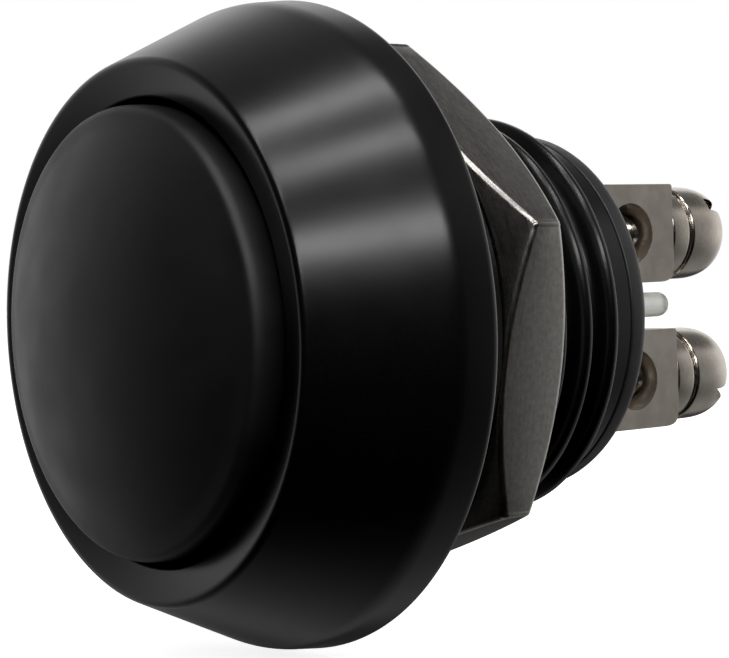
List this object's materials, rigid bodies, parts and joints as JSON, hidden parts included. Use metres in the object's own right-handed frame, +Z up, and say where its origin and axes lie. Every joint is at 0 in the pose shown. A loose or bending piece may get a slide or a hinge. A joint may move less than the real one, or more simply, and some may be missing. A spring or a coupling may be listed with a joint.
{
  "type": "industrial push button",
  "caption": "Panel-mount momentary push button with a domed cap in a round conical head, threaded barrel, hex nut and two screw terminals.",
  "frame": {"origin": "on the button's axis, at the flat rear face of the head that seats on the front of the panel", "axes": "+Y along the button's axis, from the domed cap towards the terminals; +Z up, through the upper terminal; +X to the right seen from the front"},
  "size_m": [0.0182, 0.024, 0.0182],
  "materials": {
    "black_anodised_aluminium": "satin black anodised",
    "black_matte_cap": "fine matte black anodised",
    "black_rubber": "matte",
    "black_steel": "blackened",
    "brushed_nickel": "nickel-plated, brushed",
    "bright_nickel": "nickel-plated, bright",
    "spring_steel": "drawn wire",
    "contact_silver": "silver-plated",
    "black_phenolic": "moulded",
    "white_nylon": "translucent natural"
  },
  "bodies": {
    "switch_body": {"housing": "black_anodised_aluminium", "panel_o_ring": "black_rubber", "return_spring": "spring_steel", "contact_sleeve": "black_phenolic", "terminal_base": "black_phenolic", "base_seal": "black_rubber", "fixed_contact_upper": "contact_silver", "fixed_contact_lower": "contact_silver", "terminal_post_upper": "bright_nickel", "terminal_post_lower": "bright_nickel"},
    "button": {"button_cap": "black_matte_cap", "cap_seal": "black_rubber", "retaining_clip": "spring_steel", "plunger": "white_nylon", "snap_ring": "spring_steel", "contact_spring": "spring_steel"},
    "moving_contact": {"contact_bridge": "contact_silver", "bridge_contact_upper": "contact_silver", "bridge_contact_lower": "contact_silver"},
    "washer": {"lock_washer": "black_steel"},
    "nut": {"hex_nut": "brushed_nickel"},
    "upper_clamp": {"clamp_washer_upper": "bright_nickel"},
    "upper_screw": {"terminal_screw_upper": "bright_nickel"},
    "lower_clamp": {"clamp_washer_lower": "bright_nickel"},
    "lower_screw": {"terminal_screw_lower": "bright_nickel"}
  },
  "joints": [
    {"name": "button_press", "type": "slide", "parent": "switch_body", "child": "button", "axis": [0, 1, 0], "range_m": [0, 0.0015], "stiffness_N_per_m": 1000, "springref_m": -0.0015, "deforming": ["return_spring", "contact_spring"]},
    {"name": "contact_travel", "type": "slide", "parent": "switch_body", "child": "moving_contact", "axis": [0, 1, 0], "range_m": [0, 0.001]},
    {"name": "washer_travel", "type": "slide", "parent": "switch_body", "child": "washer", "axis": [0, 1, 0], "range_m": [0, 0.0035]},
    {"name": "nut_turn", "type": "hinge", "parent": "washer", "child": "nut", "pos_m": [0, 0.0031, 0], "axis": [0, 1, 0], "range_deg": [0, 1260]},
    {"name": "upper_clamp_travel", "type": "slide", "parent": "switch_body", "child": "upper_clamp", "axis": [0, 1, 0], "range_m": [0, 0.0012]},
    {"name": "upper_screw_turn", "type": "hinge", "parent": "upper_clamp", "child": "upper_screw", "pos_m": [0, 0.0165, 0.0023], "axis": [0, 1, 0], "range_deg": [0, 1080]},
    {"name": "lower_clamp_travel", "type": "slide", "parent": "switch_body", "child": "lower_clamp", "axis": [0, 1, 0], "range_m": [0, 0.0012]},
    {"name": "lower_screw_turn", "type": "hinge", "parent": "lower_clamp", "child": "lower_screw", "pos_m": [0, 0.0165, -0.0023], "axis": [0, 1, 0], "range_deg": [0, 1080]}
  ],
  "couplings": [
    {"joint": "contact_travel", "follows": "button_press", "ratio": 0.6666},
    {"joint": "nut_turn", "follows": "washer_travel", "rad_per_m": 6283.2},
    {"joint": "upper_screw_turn", "follows": "upper_clamp_travel", "rad_per_m": 15708},
    {"joint": "lower_screw_turn", "follows": "lower_clamp_travel", "rad_per_m": 15708}
  ]
}
